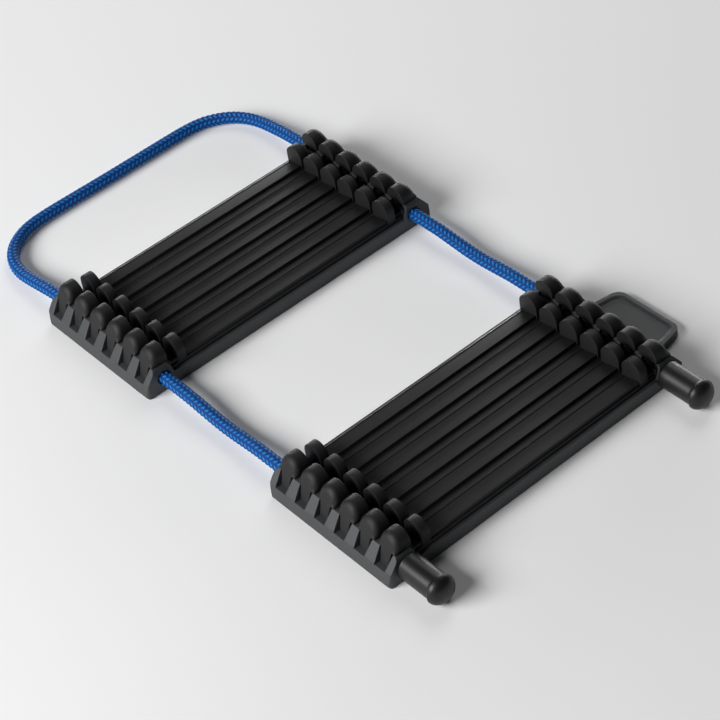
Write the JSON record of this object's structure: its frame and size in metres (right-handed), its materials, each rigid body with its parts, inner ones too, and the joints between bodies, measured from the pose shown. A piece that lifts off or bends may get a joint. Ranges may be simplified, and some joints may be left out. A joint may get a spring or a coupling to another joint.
{
  "type": "cord-strung clamp pad pair",
  "caption": "Two stiff ribbed clamp pads strung on one elastic cord with a loop and flanged end posts, to wrap round a tube and spread a clamp's pressure.",
  "frame": {"origin": "middle of the flat back of the second pad, the pad between the end posts and the other pad", "axes": "+X along the cord from the loop towards the end posts, +Y along the slats towards the tab, +Z out of the flat backs towards the fingers"},
  "size_m": [0.2619, 0.148, 0.0167],
  "materials": {
    "plate": "fine moulded texture, dark slate grey",
    "rubber": "soft matt black moulded rubber",
    "post": "satin black moulded rubber",
    "cord": "braided royal blue sheath over an elastic core"
  },
  "bodies": {
    "pad_b": {"pad_b_plate": "plate", "pad_b_rubber": "rubber"},
    "cord_ends": {"end_post_near": "post", "end_post_far": "post", "cord_run_near": "cord", "cord_run_far": "cord"},
    "cord_mid": {"cord_bend_near": "cord", "cord_bend_far": "cord", "cord_mid_near": "cord", "cord_mid_far": "cord"},
    "pad_a": {"pad_a_plate": "plate", "pad_a_rubber": "rubber"},
    "loop": {"cord_loop": "cord"}
  },
  "joints": [
    {"name": "cord_slide", "type": "slide", "parent": "pad_b", "child": "cord_ends", "axis": [1, 0, 0], "range_m": [0, 0.01]},
    {"name": "pads_fold", "type": "hinge", "parent": "cord_ends", "child": "cord_mid", "pos_m": [-0.0645, 0, 0.0056], "axis": [0, 1, 0], "range_deg": [0, 120], "deforming": ["cord_bend_near", "cord_bend_far"]},
    {"name": "pad_slide", "type": "slide", "parent": "cord_mid", "child": "pad_a", "axis": [1, 0, 0], "range_m": [0, 0.01]},
    {"name": "loop_swing", "type": "hinge", "parent": "cord_mid", "child": "loop", "pos_m": [-0.163, 0, 0.0056], "axis": [0, 1, 0], "range_deg": [0, 100], "deforming": ["cord_loop"]}
  ]
}
